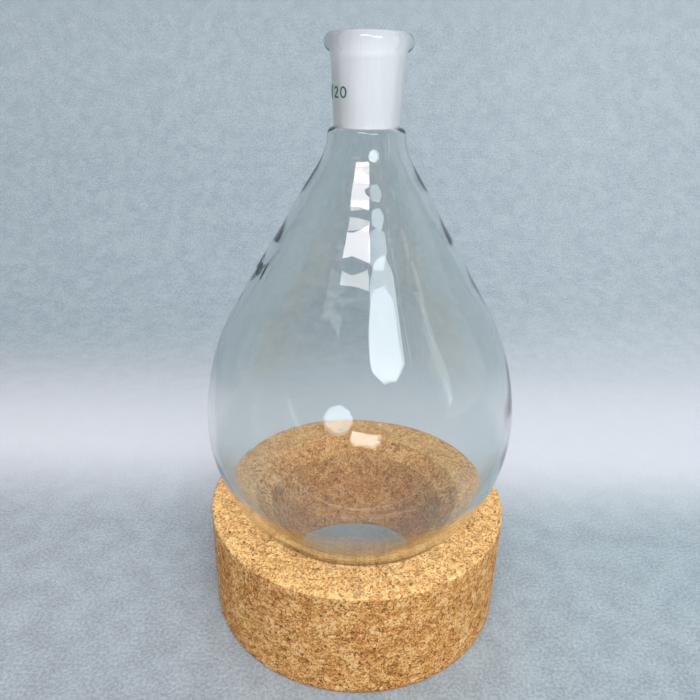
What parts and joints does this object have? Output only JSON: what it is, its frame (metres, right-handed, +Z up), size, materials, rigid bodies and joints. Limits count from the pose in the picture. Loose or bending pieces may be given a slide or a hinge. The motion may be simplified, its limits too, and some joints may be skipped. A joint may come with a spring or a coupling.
{
  "type": "round bottom flask",
  "caption": "Pear-shaped round-bottom glass flask with a tapered ground socket and a beaded mouth, standing in a tapered cork ring.",
  "frame": {"origin": "centre of the cork ring's underside", "axes": "+Z up along the axis of the flask and the ring; the figures face towards -X and a little to -Y"},
  "size_m": [0.09, 0.09, 0.1637],
  "materials": {
    "cork": "matt agglomerated cork, fine dark and pale granules",
    "clear_glass": "clear blown borosilicate glass",
    "ground_glass": "glass with a finely ground bore and a clear bead",
    "green_enamel": "fired enamel, satin",
    "dark_enamel": "fired enamel, satin"
  },
  "bodies": {
    "ring": {"cork_ring": "cork"},
    "flask": {"flask_bulb": "clear_glass", "ground_socket": "ground_glass", "joint_size_mark": "green_enamel", "capacity_mark": "dark_enamel"}
  },
  "joints": [
    {"name": "flask_lift", "type": "slide", "parent": "ring", "child": "flask", "axis": [0, 0, 1], "range_m": [0, 0.12]}
  ]
}
